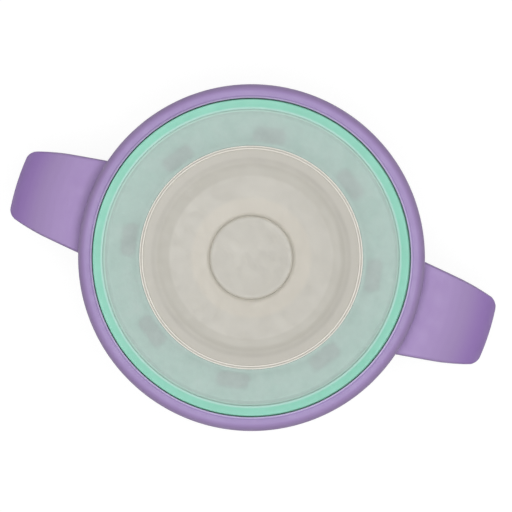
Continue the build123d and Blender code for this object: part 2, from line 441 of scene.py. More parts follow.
def frosted(name, shade, light, clear, roughness, index=plastic_index, sheen_level=0.2, rings=()):
    """Translucent finish that lets a clear share of the light through.

    Each of its rings is an inner and an outer radius, a soft width, a colour and a clear share.
    """
    material, tree, shader, place = new_finish(name, index, sheen_level)
    colour = clouded(tree, place, shade, light, blotch=7.0, detail=5.0)
    clearness = uneven(tree, noise(tree, place, blotch=5.0, detail=3.0), clear, spread=0.02)
    radius = from_axis(tree, place) if rings else None
    # A ring changes colour and clearness: a milkier thick place, or painted light or shade.
    for inner, outer, soft, ring_colour, ring_clear in rings:
        share = ring_share(tree, radius, inner, outer, soft)
        colour = blend_colours(tree, share, colour, ring_colour)
        clearness = blend_values(tree, share, clearness, ring_clear)
    tree.links.new(colour, shader.inputs["Base Color"])
    tree.links.new(clearness, shader.inputs["Transmission Weight"])
    gloss = uneven(tree, noise(tree, place, blotch=2.5), roughness, spread=0.015)
    tree.links.new(gloss, shader.inputs["Roughness"])
    mould_grain(tree, shader, place, grain=0.4, strength=0.15)
    return material


panel_radius = 10.7
hub_milk_and_painted_light = [
    # Painted highlight round the panel.
    (panel_radius + 0.7, panel_radius + 3.8, 1.6, screen(215, 209, 196), 0.34),
    # Painted shade on the shelf, over the plug and bore below.
    (hub_radius - 7.2, hub_radius - 5.0, 0.9, screen(194, 190, 178), 0.32),
    # Painted light on the slope up to the bead, for the gloss that its tilt loses.
    (hub_radius - 2.6, hub_radius - 1.2, 0.9, screen(216, 212, 202), 0.28),
    # The double bead: milkier where the disc is thicker, and partly a painted highlight.
    (hub_radius - 0.95, hub_radius - 0.62, 0.06, screen(238, 233, 224), 0.2),
    (hub_radius - 0.32, hub_radius + 0.1, 0.06, screen(240, 236, 227), 0.2),
]
natural = frosted(
    "frosted_tumbler",
    shade=screen(216, 220, 217),
    light=screen(224, 227, 224),
    clear=0.15,
    roughness=0.45,
)
frosted_hub = frosted(
    "frosted_disc",
    shade=screen(203, 199, 188),
    light=screen(209, 205, 194),
    clear=0.34,
    roughness=0.44,
    sheen_level=0.4,
    rings=hub_milk_and_painted_light,
)
clear_rubber = frosted(
    "clear_silicone",
    shade=screen(226, 228, 224),
    light=screen(234, 236, 232),
    clear=0.5,
    roughness=0.35,
    index=silicone_index,
)
print("frosted finishes:", natural.name, frosted_hub.name, clear_rubber.name)

# %% [markdown]
# The valve's skin is only a millimetre thick and lies close over the windows, which show
# through it as soft marks. A rough transmission would need many rays for its two surfaces and
# would lose the windows in the blur. So the skin is a veil: Alpha lets each surface stop a
# share of the light and pass the rest straight on. Round its edge the veil stops more light,
# and its colour there is lighter and mint-tinted: painted light against the shade of the lip
# above it, and a painted reflection of the mint lip beside it.

# %% Milky silicone


def veiled(name, shade, light, cover, roughness, index, sheen_level, lip):
    """Thin milky finish: cover is the share of light that each of its two surfaces stops."""
    material, tree, shader, place = new_finish(name, index, sheen_level)
    inner, outer, soft, painted_lip_light, lip_cover = lip
    share = ring_share(tree, from_axis(tree, place), inner, outer, soft)
    colour = clouded(tree, place, shade, light, blotch=6.0, detail=5.0)
    # The colour round the edge is painted light and a painted reflection of the mint lip.
    colour = blend_colours(tree, share, colour, painted_lip_light)
    tree.links.new(colour, shader.inputs["Base Color"])
    stops = uneven(tree, noise(tree, place, blotch=4.0, detail=3.0), cover, spread=0.03)
    tree.links.new(blend_values(tree, share, stops, lip_cover), shader.inputs["Alpha"])
    gloss = uneven(tree, noise(tree, place, blotch=2.5), roughness, spread=0.04)
    tree.links.new(gloss, shader.inputs["Roughness"])
    mould_grain(tree, shader, place, grain=0.5, strength=0.2)
    return material


milky_skin = veiled(
    "frosted_silicone",
    shade=screen(209, 224, 220),
    light=screen(216, 230, 226),
    cover=0.475,
    roughness=0.5,
    index=silicone_index,
    sheen_level=0.25,
    # Lighter, mint-tinted edge: painted light and a painted reflection of the lip.
    lip=(skin_radius - 0.45, skin_radius + 0.2, 0.3, screen(206, 234, 224), 0.75),
)
print("veiled finish:", milky_skin.name)

# %% [markdown]
# Most pieces of the cup are turned: one outline, swept round the axis. It is drawn with sharp
# corners, and each corner that the mould rounds is replaced by an arc. So a corner has three
# numbers here: its radius from the axis, its height, and its rounding.

# %% Outlines with rounded corners
arc_step = math.radians(9)


def rounded(corners, closed=True):
    """The outline through (radius, height, rounding) corners, with an arc at each rounding."""
    outline = []
    for index, (across, height, rounding) in enumerate(corners):
        here = Vector((across, height))
        if not rounding:
            outline.append(here)
            continue
        before = (Vector(corners[index - 1][:2]) - here).normalized()
        after = (Vector(corners[(index + 1) % len(corners)][:2]) - here).normalized()
        half_angle = before.angle(after) / 2
        centre = here + (before + after).normalized() * (rounding / math.sin(half_angle))
        start = here + before * (rounding / math.tan(half_angle)) - centre
        turn = math.pi - 2 * half_angle
        if before.cross(after) > 0:
            turn = -turn
        steps = max(2, math.ceil(abs(turn) / arc_step))
        for step in range(steps + 1):
            outline.append(centre + Matrix.Rotation(turn * step / steps, 2) @ start)
    if closed:
        outline.append(outline[0].copy())
    return outline


def chain(points):
    """A chain of edges in the XZ plane through (radius, height) points in millimetres."""
    mesh = bpy.data.meshes.new("chain")
    places = [(across * mm, 0, height * mm) for across, height in points]
    mesh.from_pydata(places, [(index, index + 1) for index in range(len(places) - 1)], [])
    return mesh


# %% [markdown]
# A turned piece could be made with the Screw modifier or with bmesh's spin. A node tree is
# clearer and never turns the shape inside out halfway: it rolls a flat grid up. Each row of
# the grid stands for one point of the outline and each column for one step round the axis.
# The first and last columns meet, and merging their points closes the seam and the poles.

# %% A node tree that turns an outline
seam_reach = 0.001


def new_tree(name, inputs):
    """A geometry tree with named inputs. Returns the tree and the outputs of its input node."""
    tree = bpy.data.node_groups.new(name, "GeometryNodeTree")
    tree.interface.new_socket("Geometry", in_out="INPUT", socket_type="NodeSocketGeometry")
    for label, kind, value in inputs:
        socket = tree.interface.new_socket(label, in_out="INPUT", socket_type="NodeSocket" + kind)
        if value is not None:
            socket.default_value = value
    tree.interface.new_socket("Geometry", in_out="OUTPUT", socket_type="NodeSocketGeometry")
    return tree, put(tree, "NodeGroupInput").outputs


def close_tree(tree, geometry, material):
    """End a tree: make instances real and give the result its material."""
    real = put(tree, "GeometryNodeRealizeInstances", {"Geometry": geometry}).outputs[0]
    dressed = put(tree, "GeometryNodeSetMaterial", {"Geometry": real, "Material": material})
    put(tree, "NodeGroupOutput", {0: dressed.outputs[0]})
    print("tree", tree.name, len(tree.nodes), "nodes")


def flat_grid(tree, given):
    """A grid with a row for each point of the chain that comes in and a column for each step.

    Returns the grid, the chain's point for each of its points, and the share of the steps done.
    """
    source = given["Geometry"]
    size = put(tree, "GeometryNodeAttributeDomainSize", {"Geometry": source}, component="MESH")
    rows = size.outputs["Point Count"]
    columns = math_node(tree, "ADD", given["Steps"], 1)
    inputs = {"Size X": 1.0, "Size Y": 1.0, "Vertices X": columns, "Vertices Y": rows}
    grid = put(tree, "GeometryNodeMeshGrid", inputs).outputs["Mesh"]
    index = put(tree, "GeometryNodeInputIndex").outputs[0]
    row = math_node(tree, "FLOORED_MODULO", index, rows)
    column = math_node(tree, "FLOOR", math_node(tree, "DIVIDE", index, rows))
    place = put(tree, "GeometryNodeInputPosition").outputs[0]
    inputs = {"Geometry": source, "Value": place, "Index": row}
    point = put(tree, "GeometryNodeSampleIndex", inputs, data_type="FLOAT_VECTOR").outputs[0]
    return grid, point, math_node(tree, "DIVIDE", column, given["Steps"])


def roll_up(tree, grid, place, turns, material):
    """Turn each point of the grid about Z by its turns, close the seams and end the tree."""
    angle = math_node(tree, "MULTIPLY", turns, math.tau)
    inputs = {"Vector": place, "Angle": angle}
    wound = put(tree, "ShaderNodeVectorRotate", inputs, rotation_type="Z_AXIS").outputs[0]
    inputs = {"Geometry": grid, "Position": wound}
    rolled = put(tree, "GeometryNodeSetPosition", inputs).outputs[0]
    inputs = {"Geometry": rolled, "Distance": seam_reach * mm}
    closed = put(tree, "GeometryNodeMergeByDistance", inputs).outputs[0]
    close_tree(tree, closed, material)


def turning_tree():
    """Turn the outline that comes in, a chain in the XZ plane, once round the Z axis."""
    tree, given = new_tree("turned_piece", [("Steps", "Int", 256), ("Material", "Material", None)])
    grid, point, share = flat_grid(tree, given)
    roll_up(tree, grid, point, share, given["Material"])
    return tree


turn_outline = turning_tree()

# %% [markdown]
# A tree works through a modifier on an object, and its inputs are set by the identifier of
# each socket. The result is copied into a plain mesh and the object goes away, so that only
# finished meshes are left.

# %% Run a tree


def grow(tree, mesh, settings):
    """Run a tree on a mesh, with its inputs set by identifier, and return a plain mesh."""
    source = add_object("source", mesh)
    modifier = source.modifiers.new("grow", "NODES")
    modifier.node_group = tree
    for item in tree.interface.items_tree:
        if item.in_out == "INPUT" and item.name in settings:
            modifier[item.identifier] = settings[item.name]
    evaluated = source.evaluated_get(bpy.context.evaluated_depsgraph_get())
    result = bpy.data.meshes.new_from_object(evaluated)
    bpy.data.objects.remove(source)
    return result


def turned(outline, material):
    """Turn an outline of (radius, height) points in millimetres into a closed mesh."""
    return grow(turn_outline, chain(outline), {"Material": material})


# %% [markdown]
# A finished piece needs the same few things each time: faces that point outwards, smooth
# shading that stops at real edges, a body that it rides on, and the CAD nodes that it stands
# for hidden.

# %% Finishing a piece
sharp_angle = math.radians(35)
doubles_reach = 0.0005


def face_outwards(mesh):
    """Merge doubled points and turn all faces outwards. Returns how many edges are open."""
    shape = bmesh.new()
    shape.from_mesh(mesh)
    bmesh.ops.remove_doubles(shape, verts=shape.verts, dist=doubles_reach * mm)
    bmesh.ops.recalc_face_normals(shape, faces=shape.faces)
    loose = sum(1 for edge in shape.edges if not edge.is_manifold)
    shape.to_mesh(mesh)
    shape.free()
    return loose


def finish_piece(name, mesh, body, nodes):
    """Make a mesh a piece of the cup: clean it, and tell the frame about it."""
    loose = face_outwards(mesh)
    mesh.name = name
    mesh.shade_smooth()
    mesh.set_sharp_from_angle(angle=sharp_angle)
    piece = add_object(name, mesh)
    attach(piece, body)
    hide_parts(*nodes)
    print(name, len(mesh.polygons), "faces,", loose, "open edges")


# %% [markdown]
# Ribs, lugs, thread ridges and windows sit round the axis in equal steps. This tree takes a
# turned wall and one tool, copies the tool round the axis, and joins the copies to the wall
# or cuts them out of it. A boolean keeps the result one closed skin, which matters for
# plastic that light goes through: a rib that only overlapped its wall would show inside it.

# %% A node tree that sets copies round a wall


def round_tree(name, operation):
    """Copies of a tool round the axis, joined to the wall that comes in or cut out of it."""
    inputs = [("Tool", "Object", None), ("Count", "Int", 8), ("First Angle", "Float", 0.0)]
    tree, given = new_tree(name, inputs + [("Material", "Material", None)])
    tool = put(tree, "GeometryNodeObjectInfo", {"Object": given["Tool"]}).outputs["Geometry"]
    line = put(tree, "GeometryNodeMeshLine", {"Count": given["Count"], "Offset": (0, 0, 0)})
    index = put(tree, "GeometryNodeInputIndex").outputs[0]
    share = math_node(tree, "DIVIDE", index, given["Count"])
    angle = math_node(tree, "MULTIPLY_ADD", share, math.tau, given["First Angle"])
    euler = put(tree, "ShaderNodeCombineXYZ", {"Z": angle}).outputs[0]
    turn = put(tree, "FunctionNodeEulerToRotation", {"Euler": euler}).outputs[0]
    inputs = {"Points": line.outputs[0], "Instance": tool, "Rotation": turn}
    copies = put(tree, "GeometryNodeInstanceOnPoints", inputs).outputs[0]
    real = put(tree, "GeometryNodeRealizeInstances", {"Geometry": copies}).outputs[0]
    joined = put(tree, "GeometryNodeMeshBoolean", operation=operation, solver="EXACT")
    wall_socket = "Mesh 1" if operation == "DIFFERENCE" else "Mesh 2"
    tree.links.new(given["Geometry"], joined.inputs[wall_socket])
    tree.links.new(real, joined.inputs["Mesh 2"])
    close_tree(tree, joined.outputs[0], given["Material"])
    return tree


join_round = round_tree("joined_round_a_wall", "UNION")
cut_round = round_tree("cut_round_a_wall", "DIFFERENCE")

# %% [markdown]
# The tools themselves are simple solids on +X, stacked up from plan outlines: two equal
# outlines make a rib or a lug, and a window's cutter has four, so that it can widen upwards.

# %% Tools to set round a wall


def set_round(tree, wall, tool, count, first_angle, material):
    """Run one of the two trees above, with the tool given as a mesh."""
    holder = add_object("tool", tool)
    settings = {"Tool": holder, "Count": count, "First Angle": first_angle, "Material": material}
    result = grow(tree, wall, settings)
    bpy.data.objects.remove(holder)
    return result


def stacked(rings):
    """A closed solid through (plan outline, height) rings in millimetres, lowest first."""
    count = len(rings[0][0])
    points = [(x * mm, y * mm, height * mm) for plan, height in rings for x, y in plan]
    last = len(points) - count
    faces = [
        (start + i, start + (i + 1) % count, start + count + (i + 1) % count, start + count + i)
        for start in range(0, last, count)
        for i in range(count)
    ]
    ends = [tuple(range(count))[::-1], tuple(range(last, len(points)))]
    mesh = bpy.data.meshes.new("tool")
    mesh.from_pydata(points, [], faces + ends)
    return mesh


def radial_block(inner, outer, width, low, high):
    """A block on +X between two radii and two heights."""
    half = width / 2
    plan = [(inner, -half), (outer, -half), (outer, half), (inner, half)]
    return stacked([(plan, low), (plan, high)])


# %% [markdown]
# The thread is a two-start, right-hand one, coarse enough for half a turn to free the lid.
# A ridge follows a rule, so it comes from a tree as well: again a grid, whose rows go round
# the ridge's section and whose columns climb along a helix. At both ends the section
# shrinks into the wall, as a moulded thread runs out.

# %% A node tree for thread ridges
thread_pitch = 4.0
thread_starts = 2
thread_depth = 1.1
thread_gap = 0.4
thread_foot_half_width = 1.45
thread_crest_half_width = 0.6
thread_crest_round = 0.3
thread_root_sink = 0.5
thread_seat_sink = 0.2


def thread_tree():
    """Sweep the section that comes in, a chain in the XZ plane, along a helix of given turns."""
    lead = thread_pitch * thread_starts
    inputs = [("Radius", "Float", neck_radius * mm), ("Lead", "Float", lead * mm)]
    inputs += [("Turns", "Float", 0.7), ("Run Out", "Float", 0.06), ("Steps", "Int", 140)]
    tree, given = new_tree("thread_ridge", inputs + [("Material", "Material", None)])
    grid, section, share = flat_grid(tree, given)
    turns = math_node(tree, "MULTIPLY", share, given["Turns"])
    to_end = math_node(tree, "SUBTRACT", given["Turns"], turns)
    run_ins = [eased(tree, distance, 0.0, given["Run Out"]) for distance in (turns, to_end)]
    inputs = {0: section, "Scale": math_node(tree, "MINIMUM", *run_ins)}
    shrunk = put(tree, "ShaderNodeVectorMath", inputs, operation="SCALE").outputs[0]
    climb = math_node(tree, "MULTIPLY", turns, given["Lead"])
    lift = put(tree, "ShaderNodeCombineXYZ", {"X": given["Radius"], "Z": climb}).outputs[0]
    place = put(tree, "ShaderNodeVectorMath", {0: shrunk, 1: lift}, operation="ADD").outputs[0]
    roll_up(tree, grid, place, turns, given["Material"])
    return tree


wind_thread = thread_tree()


def thread_ridge(wall_radius, outward, turns, height, material):
    """One ridge on a wall: outward is 1 on the neck and -1 inside the collar."""
    foot = -thread_root_sink * outward
    crest = thread_depth * outward
    section = rounded([
        (foot, -thread_foot_half_width, 0),
        (crest, -thread_crest_half_width, thread_crest_round),
        (crest, thread_crest_half_width, thread_crest_round),
        (foot, thread_foot_half_width, 0),
    ])
    radius = wall_radius - thread_seat_sink * outward
    settings = {"Radius": radius * mm, "Turns": turns, "Material": material}
    ridge = grow(wind_thread, chain(section), settings)
    ridge.transform(Matrix.Translation((0, 0, height * mm)))
    face_outwards(ridge)
    return ridge


# %% [markdown]
# The tumbler is the largest piece, though from above only its colour shows, through the
# valve. It is turned, two millimetres thick, with a flat foot ring and a ledge that carries
# the handle ring. Eight short guide ribs on the neck centre that ring, and the thread starts
# above it.

# %% Tumbler
wall = 2.0
base_radius = 30.6
foot_inner_radius = 22.0
foot_recess = 1.5
ledge_top = 71.0
ledge_edge = 2.2
shoulder_height = 65.5
shoulder_radius = neck_radius - 0.8
mouth_radius = neck_radius - wall
guide_rib_count = 8
guide_rib_width = 2.4
guide_rib_top = 78.7
neck_thread_turns = 0.7
neck_thread_start = collar_bottom + 1.9


def tumbler():
    """Tapered body with foot, ledge, guide ribs and threaded neck."""
    floor_top = foot_recess + wall
    slope = (shoulder_radius - base_radius) / shoulder_height
    outline = rounded([
        (0, foot_recess, 0),
        (foot_inner_radius - foot_recess, foot_recess, 0.8),
        (foot_inner_radius, 0, 0.5),
        (base_radius, 0, 6.0),
        (shoulder_radius, shoulder_height, 2.5),
        (ledge_radius, ledge_top - ledge_edge, 0.8),
        (ledge_radius, ledge_top, 0.4),
        (neck_radius, ledge_top, 0.3),
        (neck_radius, mouth_top, 0.6),
        (mouth_radius, mouth_top, 0.6),
        (mouth_radius, ledge_top, 20.0),
        (base_radius + slope * floor_top - wall, floor_top, 4.0),
        (0, floor_top, 0),
    ], closed=False)
    rib = radial_block(
        neck_radius - wall / 2,
        neck_radius + thread_depth,
        guide_rib_width,
        ledge_top - ledge_edge / 2,
        guide_rib_top,
    )
    body = set_round(join_round, turned(outline, natural), rib, guide_rib_count, 0.0, natural)
    ridge = thread_ridge(neck_radius, 1, neck_thread_turns, neck_thread_start, natural)
    return set_round(join_round, body, ridge, thread_starts, 0.0, natural)


finish_piece("tumbler", tumbler(), "cup", ["cup_body"])

# %% [markdown]
# Each handle is a flat strap that leaves the ring, arches over and hangs down, with its end
# free. Seen from above its outer edge is part of a circle round the cup. So the strap is
# first swept straight along its side view, then narrowed towards its end, and last bent
# sideways round the cup's axis. One tree does all three, and this cell holds its sizes and
# rules.

# %% The rules of the handle strap
handle_thickness = 5.6
strap_reach = handle_reach + 0.25
root_reach = 41.9
root_half_width = 13.05
width_taper = 0.14
bow_start = 55.0
bow_depth = 0.97
bow_power = 1.5
corner_round = 2.0
end_corner_round = 3.0
edge_round = 2.0
edge_slimness = 3.0


def other_side(tree, longest, side):
    """The third side of a right-angled triangle, from its longest side and one other."""
    squares = [math_node(tree, "MULTIPLY", value, value) for value in (longest, side)]
    return math_node(tree, "SQRT", math_node(tree, "SUBTRACT", *squares))


def arc_drop(tree, depth, radius):
    """How far a round corner of the given radius falls back, depth being from its start."""
    depth = math_node(tree, "MINIMUM", math_node(tree, "MAXIMUM", depth, 0.0), radius)
    return math_node(tree, "SUBTRACT", radius, other_side(tree, radius, depth))


def strap_half_width(tree, given, distance, to_end):
    """Half width of the strap at a distance from the axis and from its free end."""
    minus = partial(math_node, tree, "SUBTRACT")
    times = partial(math_node, tree, "MULTIPLY")
    beyond = minus(distance, given["Root Reach"])
    tapered = minus(given["Root Half Width"], times(beyond, given["Taper"]))
    past = math_node(tree, "MAXIMUM", minus(distance, given["Bow Start"]), 0.0)
    past = math_node(tree, "DIVIDE", past, minus(given["Tip Reach"], given["Bow Start"]))
    bowed = minus(tapered, times(math_node(tree, "POWER", past, bow_power), given["Bow Depth"]))
    into_corner = minus(distance, minus(given["Tip Reach"], given["Corner Round"]))
    width = minus(bowed, arc_drop(tree, into_corner, given["Corner Round"]))
    into_end = minus(given["End Corner Round"], to_end)
    return minus(width, arc_drop(tree, into_end, given["End Corner Round"]))


# %% [markdown]
# The sweep keeps two values on every point: how far it is from the free end, and how full the
# section is there, since the bar thins to a round end. The section starts three times as wide
# as the strap. Narrowing it squeezes its rounded edges too, which stay two millimetres deep
# but are slim when seen from above. The bend then moves each point sideways along its circle
# round the axis, so that its distance from the axis stays.

# %% A node tree for the handle strap
path_points = 120
section_points = 168
edge_points = 6
least_fullness = 0.08


def store(tree, geometry, name, value):
    """Keep a value on the points of a geometry under a name."""
    options = {"data_type": "FLOAT", "domain": "POINT"}
    inputs = {"Geometry": geometry, "Name": name, "Value": value}
    return put(tree, "GeometryNodeStoreNamedAttribute", inputs, **options).outputs[0]


def recall(tree, name):
    """A value kept under a name."""
    inputs = {"Name": name}
    return put(tree, "GeometryNodeInputNamedAttribute", inputs, data_type="FLOAT").outputs["Attribute"]


def swept_bar(tree, given, stretched):
    """A straight bar of the stretched half width along the path that comes in."""
    path = put(tree, "GeometryNodeMeshToCurve", {"Mesh": given["Geometry"]}).outputs[0]
    path = put(tree, "GeometryNodeResampleCurve", {"Curve": path, "Count": path_points}).outputs[0]
    length = put(tree, "GeometryNodeSplineLength").outputs["Length"]
    travelled = put(tree, "GeometryNodeSplineParameter").outputs["Length"]
    left = math_node(tree, "SUBTRACT", length, travelled)
    path = store(tree, path, "to_end", left)
    half_thickness = math_node(tree, "MULTIPLY", given["Thickness"], 0.5)
    into_end = math_node(tree, "SUBTRACT", half_thickness, left)
    thinning = math_node(tree, "DIVIDE", arc_drop(tree, into_end, half_thickness), half_thickness)
    fullness = math_node(tree, "MAXIMUM", math_node(tree, "SUBTRACT", 1.0, thinning), least_fullness)
    path = store(tree, path, "fullness", fullness)
    inputs = {"Width": math_node(tree, "MULTIPLY", stretched, 2.0), "Height": given["Thickness"]}
    bar = put(tree, "GeometryNodeCurvePrimitiveQuadrilateral", inputs).outputs[0]
    inputs = {"Curve": bar, "Radius": given["Edge Round"], "Count": edge_points}
    section = put(tree, "GeometryNodeFilletCurve", inputs, mode="POLY").outputs[0]
    inputs = {"Curve": section, "Count": section_points}
    section = put(tree, "GeometryNodeResampleCurve", inputs).outputs[0]
    inputs = {"Curve": path, "Profile Curve": section, "Scale": fullness, "Fill Caps": True}
    return put(tree, "GeometryNodeCurveToMesh", inputs).outputs[0]


def strap_tree():
    """Sweep a bar along the path that comes in, shape its width and bend it round the axis."""
    lengths = {
        "Thickness": handle_thickness,
        "Edge Round": edge_round,
        "Root Reach": root_reach,
        "Root Half Width": root_half_width,
        "Tip Reach": strap_reach,
        "Bow Start": bow_start,
        "Bow Depth": bow_depth,
        "Corner Round": corner_round,
        "End Corner Round": end_corner_round,
    }
    inputs = [(label, "Float", length * mm) for label, length in lengths.items()]
    inputs += [("Taper", "Float", width_taper), ("Edge Slimness", "Float", edge_slimness)]
    tree, given = new_tree("handle_strap", inputs + [("Material", "Material", None)])
    stretched = math_node(tree, "MULTIPLY", given["Root Half Width"], given["Edge Slimness"])
    bar = swept_bar(tree, given, stretched)
    place = put(tree, "GeometryNodeInputPosition").outputs[0]
    parts = put(tree, "ShaderNodeSeparateXYZ", {0: place}).outputs
    half_width = strap_half_width(tree, given, parts["X"], recall(tree, "to_end"))
    bar_half_width = math_node(tree, "MULTIPLY", recall(tree, "fullness"), stretched)
    share = math_node(tree, "DIVIDE", parts["Y"], bar_half_width)
    across = math_node(tree, "MULTIPLY", share, half_width)
    out = other_side(tree, parts["X"], across)
    bent = put(tree, "ShaderNodeCombineXYZ", {"X": out, "Y": across, "Z": parts["Z"]}).outputs[0]
    strap = put(tree, "GeometryNodeSetPosition", {"Geometry": bar, "Position": bent}).outputs[0]
    close_tree(tree, strap, given["Material"])
    return tree


bend_strap = strap_tree()

# %% [markdown]
# The side view of a handle is a line with two bends: it rises a little from the ring, turns
# down over the crest, and curls in towards the cup at its end. The ring is a plain band that
# turns freely on the guide ribs, and the two straps grow out of it as one moulding.

# %% Ring with two handles
band_bore = neck_radius + thread_depth + 0.3
band_bottom = ledge_top + 0.2
band_top = top("handle_ring")
strap_start = band_bore + 1.1
line_start = band_bore + 0.2 - handle_thickness
root_drop = 4.1
crest_rise = 2.7
bend_round = 12.9
curl_height = 28.0
curl_round = 36.0
strap_drop = 40.0
curl_in = 5.2
handle_count = 2


def handle_strap():
    """One strap on +X, from inside the ring's wall to its free end."""
    root_height = band_top - root_drop
    crest_height = root_height + crest_rise
    centre_reach = strap_reach - handle_thickness / 2
    slope = crest_rise / (centre_reach - line_start)
    path = rounded([
        (strap_start, root_height + slope * (strap_start - line_start), 0),
        (centre_reach, crest_height, bend_round),
        (centre_reach, crest_height - curl_height, curl_round),
        (centre_reach - curl_in, crest_height - strap_drop, 0),
    ], closed=False)
    return grow(bend_strap, chain(path), {"Material": lilac})


def handle_ring():
    """The ring that drops over the neck, with its two handles."""
    band = rounded([
        (band_bore, band_bottom, 0.4),
        (collar_radius, band_bottom, 0.5),
        (collar_radius, band_top, 0.8),
        (band_bore, band_top, 0.4),
    ])
    return set_round(join_round, turned(band, lilac), handle_strap(), handle_count, 0.0, lilac)


finish_piece("handle_ring_with_grips", handle_ring(), "handles", ["handle_ring"])

# %% [markdown]
# The screw collar frames the picture. Its top is flat and rolls over to a straight side in a
# shoulder twice as deep as it is wide, a quarter of an ellipse, so that the ring darkens only
# near its outer edge. The round hole has a fine raised bead with a shallow groove outside it.
# Inside are six lugs that snap under the rim's flange, and the thread.

# %% Screw collar
lip_radius = neck_radius - 0.25
collar_bore = neck_radius + thread_depth + thread_gap
collar_outer = collar_radius + 0.04
hole_radius = lip_radius + 0.72
bead_width = 0.42
bead_rise = 0.04
groove_width = 0.24
groove_depth = 0.12
shoulder_width = 2.0
shoulder_depth = 4.0
shoulder_steps = 12
collar_roof = 2.6
flange_gap = 0.3
flange_top = collar_top - collar_roof - flange_gap
lug_count = 6
lug_width = 9.0
lug_depth = 0.6
lug_root = 1.3
lug_height = 1.3
lug_top = top("rim_gasket") - flange_gap
collar_thread_turns = 0.4
collar_thread_start = collar_bottom + 1.8
collar_thread_angle = math.radians(90)


def collar_shoulder():
    """Corners of the quarter ellipse from the collar's side to its top."""
    corners = []
    for step in range(shoulder_steps + 1):
        angle = math.pi / 2 * step / shoulder_steps
        across = shoulder_width * (1 - math.cos(angle))
        down = shoulder_depth * (1 - math.sin(angle))
        corners.append((collar_outer - across, collar_top - down, 0))
    return corners


def screw_collar():
    """Collar with rounded top, bead and groove round its hole, lugs and thread."""
    under_top = flange_top + flange_gap
    bead_edge = hole_radius + bead_width
    outline = rounded([
        (collar_bore, collar_bottom, 0.5),
        (collar_outer, collar_bottom, 0.6),
        *collar_shoulder(),
        (bead_edge + groove_width, collar_top, 0.06),
        (bead_edge + groove_width / 2, collar_top - groove_depth, 0.05),
        (bead_edge, collar_top, 0),
        (bead_edge - bead_rise, collar_top + bead_rise, 0.015),
        (hole_radius, collar_top + bead_rise, 0.05),
        (hole_radius, under_top, 0.3),
        (collar_bore, under_top, 0),
    ])
    lug_inner = collar_bore - lug_depth
    lug_outer = collar_bore + lug_root
    lug = radial_block(lug_inner, lug_outer, lug_width, lug_top - lug_height, lug_top)
    body = set_round(join_round, turned(outline, lilac), lug, lug_count, 0.0, lilac)
    ridge = thread_ridge(collar_bore, -1, collar_thread_turns, collar_thread_start, lilac)
    return set_round(join_round, body, ridge, thread_starts, collar_thread_angle, lilac)


finish_piece("screw_collar", screw_collar(), "collar", ["collar"])

# %% [markdown]
# The drinking rim is a mint insert. Its lip stands up through the collar, its flange is
# clamped by the collar, and its floor carries the valve. The lip's inner edge leans in a
# little over the valve's skin and hides its edge. A narrow groove in the flange beside the
# lip deepens the gap to the collar, so that it shows as a dark line.

# %% Drinking rim, its sizes
lip_wall = 2.1
lip_slope = 0.45
lip_swell = 0.15
lip_swell_depth = 1.2
lip_lean = 0.27
lip_lean_depth = 0.7
lip_lean_end = 1.6
relief_width = 0.75
relief_depth = 1.5
relief_taper = 0.1
skirt_bottom = bottom("drinking_rim")
skirt_radius = mouth_radius - 0.3
skirt_inner = skirt_radius - 1.5
flange_radius = reach("drinking_rim")
flange_bottom = flange_top - 1.8
floor_top = lip_top - 6.3
floor_bottom = floor_top - 1.5
bore_radius = hub_radius - 2.0
tube_radius = bore_radius + 1.4
tube_bottom = floor_top - 4.0
rib_thickness = 1.2
rib_overlap = 0.7
rib_bottom = floor_bottom - 2.6
print(f"lip {lip_radius:.2f}, bore {bore_radius:.2f}, floor at {floor_top:.1f} mm")

# %% [markdown]
# Eight flow windows go through the floor, and some have slanted ends. They are cut as real
# holes, because the skin above lets them show as patches. Their walls flare towards the top,
# so that light reaches into them and the patches have soft edges.

# %% Flow windows and the whole rim
window_count = 8
window_turn = math.radians(9.2)
window_inner = bore_radius + 3.3
window_outer = bore_radius + 6.7
window_half_width = 3.95
window_slant = 1.3
window_corner_round = 0.9
window_throat = 0.8
window_flare_out = 1.35
window_flare_along = 1.16
window_slants = (-1, 0, 1, 0)
window_copies = window_count // len(window_slants)
flare_end = 0.1
cutter_reach = 1.0


def flow_window(slanted_side):
    """Cutter for one window on +X: slanted_side is 1, -1, or 0 for a plain rectangle."""
    upper = window_slant / 2 if slanted_side > 0 else 0
    lower = window_slant / 2 if slanted_side < 0 else 0
    half = window_half_width
    plan = rounded([
        (window_inner, -half - lower, window_corner_round),
        (window_outer, -half + lower, window_corner_round),
        (window_outer, half - upper, window_corner_round),
        (window_inner, half + upper, window_corner_round),
    ], closed=False)
    middle = (window_inner + window_outer) / 2
    flared = [(middle + (x - middle) * window_flare_out, y * window_flare_along) for x, y in plan]
    return stacked([
        (plan, floor_bottom - cutter_reach),
        (plan, floor_top - window_throat),
        (flared, floor_top + flare_end),
        (flared, floor_top + cutter_reach),
    ])


